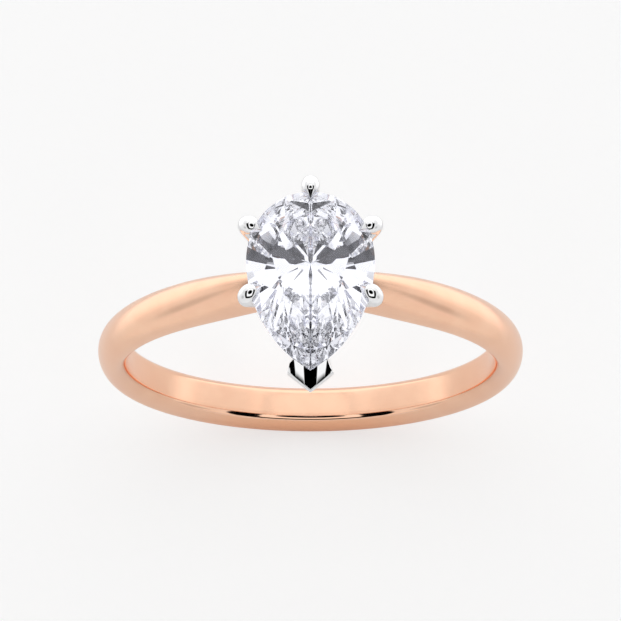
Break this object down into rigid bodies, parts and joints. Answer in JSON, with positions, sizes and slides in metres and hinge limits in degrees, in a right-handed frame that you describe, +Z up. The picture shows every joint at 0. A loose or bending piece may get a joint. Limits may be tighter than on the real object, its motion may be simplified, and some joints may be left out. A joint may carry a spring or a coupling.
{
  "type": "pear solitaire engagement ring",
  "caption": "Engagement ring: a tapered, domed shank with rising shoulders, a basket head of claw wires and rails with a V claw at the point, and a pear-cut stone.",
  "frame": {"origin": "centre of the finger bore, half way across the band", "axes": "+Y along the finger bore's axis, towards the stone's round end; +Z up through the stone; +X to the right with the stone's point facing the viewer"},
  "size_m": [0.0198, 0.0093, 0.0236],
  "materials": {
    "rose_gold": "fine polish",
    "white_metal": "mirror polish",
    "diamond": "faceted and polished"
  },
  "bodies": {
    "root": {"shank": "rose_gold", "base_rail": "white_metal", "gallery_rail": "white_metal", "claw_back": "white_metal", "claw_back_left": "white_metal", "claw_back_right": "white_metal", "claw_front_left": "white_metal", "claw_front_right": "white_metal", "v_claw": "white_metal", "diamond": "diamond"}
  },
  "joints": []
}
